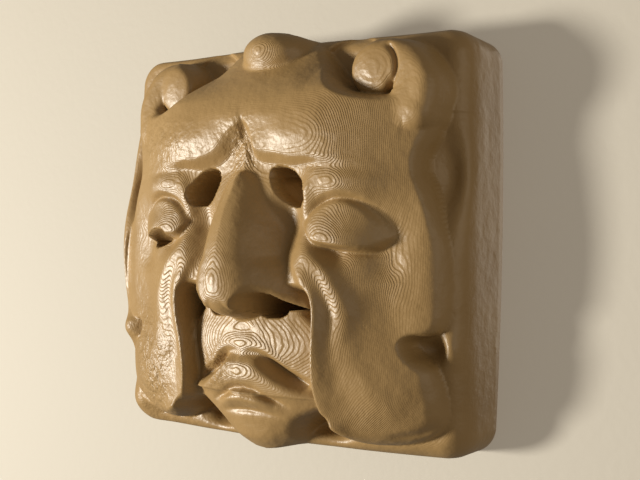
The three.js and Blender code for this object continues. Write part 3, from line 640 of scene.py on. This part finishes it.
def add_print_marks(mesh, x, height, z, count):
    """How plainly layers show, which fades on steep places, and how blistered the skin is: sums of mounds."""
    rise = np.hypot(np.gradient(height, axis=0), np.gradient(height, axis=1)) / (SIDE / CELLS)
    layered = LAYERED_LEAST + sum(mound(x, z, oval) for oval in LAYERED)
    blistered = sum(mound(x, z, oval) for oval in BLISTERED)
    add_attribute(mesh, "layered", ease(*LAYERED_SLOPE_RANGE, rise) * np.minimum(layered, 1), count)
    add_attribute(mesh, "blistered", np.minimum(blistered, 1), count)


def plaque_mesh():
    """The closed piece: the carved front's grid, side walls down to a small bevel, and a flat back."""
    x, height, z = front_grid(CELLS)
    front = np.stack([x, -height, z], axis=-1).reshape(-1, 3)
    index = np.arange(len(front)).reshape(x.shape)
    cell = np.stack([index[:-1, :-1], index[:-1, 1:], index[1:, 1:], index[1:, :-1]], axis=-1).reshape(-1, 4)
    loop = np.concatenate([index[0, :-1], index[:-1, -1], index[-1, :0:-1], index[:0:-1, 0]])
    rings = side_rings(front[loop], back_outline(loop))
    ring = np.vstack([loop, len(front) + np.arange(rings.size // 3).reshape(rings.shape[:2])])
    nxt = np.roll(ring, -1, axis=1)
    side = np.stack([ring[:-1], ring[1:], nxt[1:], nxt[:-1]], axis=-1).reshape(-1, 4)
    middle = len(front) + rings.size // 3
    back = np.stack([ring[-1], np.full(len(loop), middle), nxt[-1]], axis=-1)
    points = np.vstack([front, rings.reshape(-1, 3), (0, 0, 0)]) * MM
    mesh = bpy.data.meshes.new("face_plaque_relief")
    mesh.from_pydata(points.tolist(), [], cell.tolist() + side.tolist() + back.tolist())
    smooth = np.arange(len(cell) + len(side) + len(back)) < len(cell) + len(side)
    mesh.polygons.foreach_set("use_smooth", smooth)
    add_print_marks(mesh, x, height, z, len(points))
    places = unfold(cell, points[back.ravel()][:, [0, 2]] / MM)
    mesh.uv_layers.new(name="OFBake").data.foreach_set("uv", places.ravel().astype(np.float32))
    mesh.update()
    return mesh


def add_piece(name, mesh, material):
    """Puts a mesh in the scene as an object with one material."""
    piece = bpy.data.objects.new(name, mesh)
    bpy.context.scene.collection.objects.link(piece)
    mesh.materials.append(material)
    return piece


# Shader maths
def feed(slot, value):
    """Links a wire to an input, or sets a plain value on it."""
    if isinstance(value, Wire):
        value.tree.links.new(value.socket, slot)
    else:
        slot.default_value = value


class Wire:
    """A socket with arithmetic: an expression of wires and numbers adds its Math nodes."""

    def __init__(self, tree, socket):
        self.tree = tree
        self.socket = socket

    def math(self, operation, *others):
        """One Math node on this value and the others."""
        node = self.tree.nodes.new("ShaderNodeMath")
        node.operation = operation
        for slot, value in zip(node.inputs, (self,) + others):
            feed(slot, value)
        return Wire(self.tree, node.outputs[0])

    def __add__(self, other):
        return self.math("ADD", other)

    def __mul__(self, other):
        return self.math("MULTIPLY", other)

    def __sub__(self, other):
        return self.math("SUBTRACT", other)

    def __rsub__(self, other):
        return self * -1 + other

    __radd__ = __add__
    __rmul__ = __mul__


# A Mix node's colour sockets
MIX_LOW = 6
MIX_HIGH = 7
MIX_RESULT = 2


class Finish:
    """A material whose nodes are being laid down."""

    def __init__(self, name):
        self.material = bpy.data.materials.new(name)
        self.material.use_nodes = True
        self.tree = self.material.node_tree
        self.tree.nodes.clear()

    def node(self, kind, output, settings=None, inputs=None):
        """Adds a node with its settings, feeds its inputs by name or number, and gives one output."""
        node = self.tree.nodes.new("ShaderNode" + kind)
        for key, value in (settings or {}).items():
            setattr(node, key, value)
        for key, value in (inputs or {}).items():
            feed(node.inputs[key], value)
        return None if output is None else Wire(self.tree, node.outputs[output])

    def place(self):
        """A point's place on the object, in metres."""
        return self.node("TexCoord", "Object")

    def noise(self, place, scale, detail, distortion=0.0):
        """A cloudy pattern from 0 to 1, with about scale clouds to the metre."""
        inputs = {"Vector": place, "Scale": scale, "Detail": detail, "Distortion": distortion}
        return self.node("TexNoise", "Fac", inputs=inputs)

    def shade(self, share, low, high):
        """A colour that goes from low to high as share goes from 0 to 1."""
        inputs = {"Factor": share, MIX_LOW: low, MIX_HIGH: high}
        return self.node("Mix", MIX_RESULT, {"data_type": "RGBA"}, inputs)

    def done(self, shader):
        """Gives the material, with the shader on its surface."""
        self.node("OutputMaterial", None, inputs={"Surface": shader})
        return self.material


# The plastic: a layer's thickness in metres, how many layers its lines wander, where in a layer its step
# lies, the clouds of each mark, and how strongly each mark shows
LAYER = 0.2 * MM
LAYER_WOBBLE = 2.2
STEP_FROM = 0.5
STEP_TO = 0.95
WOBBLE_CLOUDS = dict(scale=150.0, detail=4.0)
MOTTLE_CLOUDS = dict(scale=42.0, detail=5.0, distortion=0.6)
BLISTER_CLOUDS = dict(scale=520.0, detail=3.0)
LUMP_CLOUDS = dict(scale=200.0, detail=4.0)
RELIEF_TINT = 0.3
RELIEF_WEIGHT = 0.85
BLISTERED_WEIGHT = 7.0
BLISTER_WEIGHT = 0.4
LUMP_WEIGHT = 2.2
SHADE_DARK = (0.24, 0.142, 0.05, 1)
SHADE_LIGHT = (0.36, 0.23, 0.096, 1)
PLASTIC_ROUGHNESS = 0.42
PLASTIC_GLOSS = 0.5


def printed_plastic():
    """Satin khaki-gold plastic laid down in flat layers, with blisters, soft lumps and a mottled colour.

    A wobbling depth over the layer's thickness, less its whole number, says how far through its layer a place
    is. A smooth step of that share less the share itself is a terrace with a rounded step down to the next.
    """
    finish = Finish("printed_plastic")
    place = finish.place()
    depth = finish.node("SeparateXYZ", "Y", inputs={"Vector": place})
    layered = finish.node("Attribute", "Fac", {"attribute_name": "layered"})
    blistered = finish.node("Attribute", "Fac", {"attribute_name": "blistered"})
    wobble = finish.noise(place, **WOBBLE_CLOUDS)
    through = (depth * (-1 / LAYER) + wobble * LAYER_WOBBLE).math("FRACT")
    step = finish.node("MapRange", "Result", {"interpolation_type": "SMOOTHSTEP"},
                       {"Value": through, "From Min": STEP_FROM, "From Max": STEP_TO})
    relief = (step - through) * layered
    mottle = finish.noise(place, **MOTTLE_CLOUDS)
    blister = finish.noise(place, **BLISTER_CLOUDS)
    lump = finish.noise(place, **LUMP_CLOUDS)
    skin = blister * (blistered * BLISTERED_WEIGHT + BLISTER_WEIGHT)
    skin = skin + lump * (blistered * BLISTERED_WEIGHT + LUMP_WEIGHT)
    colour = finish.shade(mottle + relief * RELIEF_TINT, SHADE_DARK, SHADE_LIGHT)
    bump = finish.node("Bump", "Normal", inputs={"Height": relief * RELIEF_WEIGHT + skin, "Strength": 1.0,
                                                 "Distance": LAYER})
    return finish.done(finish.node("BsdfPrincipled", "BSDF", inputs={
        "Base Color": colour, "Roughness": PLASTIC_ROUGHNESS, "Specular IOR Level": PLASTIC_GLOSS,
        "Normal": bump}))


# The backdrop's paints, and the wall's painted glow: painted light that lifts the plaque's shadow on the wall
WALL_CREAM = (0.32, 0.295, 0.25, 1)
# The wall's glow is painted light: the wall glows of itself, so the plaque's shadow on it reads lighter
WALL_PAINTED_GLOW = (1.0, 0.86, 0.68, 1)
WALL_PAINTED_GLOW_STRENGTH = 0.2
WALL_ROUGHNESS = 0.7
STIPPLE_CLOUDS = dict(scale=420.0, detail=3.0)
STIPPLE_STRENGTH = 0.12
STIPPLE_DEPTH = 0.6 * MM
FLOOR_DARK = (0.66, 0.62, 0.55, 1)
FLOOR_LIGHT = (0.72, 0.68, 0.61, 1)
FLOOR_CLOUDS = dict(scale=9.0, detail=3.0)
FLOOR_ROUGHNESS = 0.8


def wall_paint_and_glow():
    """Cream paint with the roller's stipple as a bump and a faint glow of its own, painted light that lifts
    the plaque's shadow on the wall; see-through from behind.
    """
    finish = Finish("wall_paint_and_glow")
    stipple = finish.noise(finish.place(), **STIPPLE_CLOUDS)
    bump = finish.node("Bump", "Normal", inputs={"Height": stipple, "Strength": STIPPLE_STRENGTH,
                                                 "Distance": STIPPLE_DEPTH})
    paint = finish.node("BsdfPrincipled", "BSDF", inputs={
        "Base Color": WALL_CREAM, "Roughness": WALL_ROUGHNESS, "Emission Color": WALL_PAINTED_GLOW,
        "Emission Strength": WALL_PAINTED_GLOW_STRENGTH, "Normal": bump})
    clear = finish.node("BsdfTransparent", "BSDF")
    behind = finish.node("NewGeometry", "Backfacing")
    return finish.done(finish.node("MixShader", "Shader", inputs={0: behind, 1: paint, 2: clear}))


def floor_paint():
    """Plain pale matt paint with a faint mottle of two shades."""
    finish = Finish("floor_paint")
    mottle = finish.noise(finish.place(), **FLOOR_CLOUDS)
    colour = finish.shade(mottle, FLOOR_DARK, FLOOR_LIGHT)
    return finish.done(finish.node("BsdfPrincipled", "BSDF", inputs={
        "Base Color": colour, "Roughness": FLOOR_ROUGHNESS}))


# The stage, with the wall just behind the plaque's back, the camera and the lights, in metres and degrees
WALL_CENTRE = (0, 0.0004, 0)
WALL_HALVES = ((0.6, 0, 0), (0, 0, 0.45))
FLOOR_CENTRE = (0, -0.3, -0.3)
FLOOR_HALVES = ((0.9, 0, 0), (0, 0.6, 0))
VIEW_TURN = 33.917
VIEW_RISE = -1.052
VIEW_ROLL = 1.226
VIEW_REACH = 0.26034
VIEW_TARGET = (-0.00208, 0.0, 0.00105)
LENS = 54.0
SENSOR = 36.0
LIGHTS = {
    "key": dict(turn=-44, rise=-8, reach=0.9, size=0.16, watts=13.0, colour=(1.0, 0.96, 0.86)),
    "fill_right": dict(turn=72, rise=6, reach=1.0, size=0.8, watts=1.8, colour=(1.0, 0.88, 0.68)),
    "from_behind": dict(turn=165, rise=10, reach=1.1, size=0.8, watts=1.8, colour=(1.0, 0.9, 0.76)),
}
SURROUND = (1.0, 0.9, 0.74, 1)
SURROUND_STRENGTH = 0.21


def stage_plane(name, centre, halves, material):
    """A flat backdrop from its centre and two half sides."""
    centre, half_u, half_v = (np.array(value, float) for value in (centre, *halves))
    corners = [centre + u * half_u + v * half_v for u, v in ((-1, -1), (1, -1), (1, 1), (-1, 1))]
    mesh = bpy.data.meshes.new(name)
    mesh.from_pydata([tuple(corner) for corner in corners], [], [(0, 1, 2, 3)])
    plane = add_piece(name, mesh, material)
    return plane


def axes_towards(turn, rise):
    """The right, up and back of what looks at the origin from a turn about Z and a rise over the level."""
    t, e = math.radians(turn), math.radians(rise)
    back = np.array([math.sin(t) * math.cos(e), -math.cos(t) * math.cos(e), math.sin(e)])
    right = np.array([math.cos(t), math.sin(t), 0.0])
    return right, np.cross(back, right), back


def place_object(name, data, axes, place):
    """Puts a camera or a light in the scene, with its three axes at a place."""
    matrix = np.eye(4)
    matrix[:3, :3] = np.stack(axes, axis=-1)
    matrix[:3, 3] = place
    item = bpy.data.objects.new(name, data)
    item.matrix_world = Matrix(matrix.tolist())
    bpy.context.scene.collection.objects.link(item)
    return item


def add_camera():
    """The photograph's view: a camera on a sphere about its target, rolled a little about its own axis."""
    right, up, back = axes_towards(VIEW_TURN, VIEW_RISE)
    roll = math.radians(VIEW_ROLL)
    rolled_right = right * math.cos(roll) + up * math.sin(roll)
    rolled_up = up * math.cos(roll) - right * math.sin(roll)
    data = bpy.data.cameras.new("camera")
    data.lens = LENS
    data.sensor_width = SENSOR
    place = np.array(VIEW_TARGET) + back * VIEW_REACH
    bpy.context.scene.camera = place_object("camera", data, (rolled_right, rolled_up, back), place)
    bpy.context.scene.view_settings.view_transform = "Standard"


def add_light(name, turn, rise, reach, size, watts, colour):
    """A round area light on a sphere about the origin."""
    axes = axes_towards(turn, rise)
    data = bpy.data.lights.new(name, "AREA")
    data.shape = "DISK"
    data.size = size
    data.energy = watts
    data.color = colour
    place_object(name, data, axes, axes[2] * reach)


def add_world():
    """An even pale surround."""
    world = bpy.data.worlds.new("surround")
    world.use_nodes = True
    shade = world.node_tree.nodes["Background"]
    shade.inputs["Color"].default_value = SURROUND
    shade.inputs["Strength"].default_value = SURROUND_STRENGTH
    bpy.context.scene.world = world


plaque = add_piece("face_plaque_relief", plaque_mesh(), printed_plastic())
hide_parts("face_plaque")
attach(plaque, "root")

wall = stage_plane("wall", WALL_CENTRE, WALL_HALVES, wall_paint_and_glow())
floor = stage_plane("floor", FLOOR_CENTRE, FLOOR_HALVES, floor_paint())
for backdrop in (wall, floor):
    backdrop.visible_diffuse = False
    backdrop.visible_glossy = False
    backdrop.visible_shadow = False

add_camera()
for name, light in LIGHTS.items():
    add_light(name, **light)
add_world()
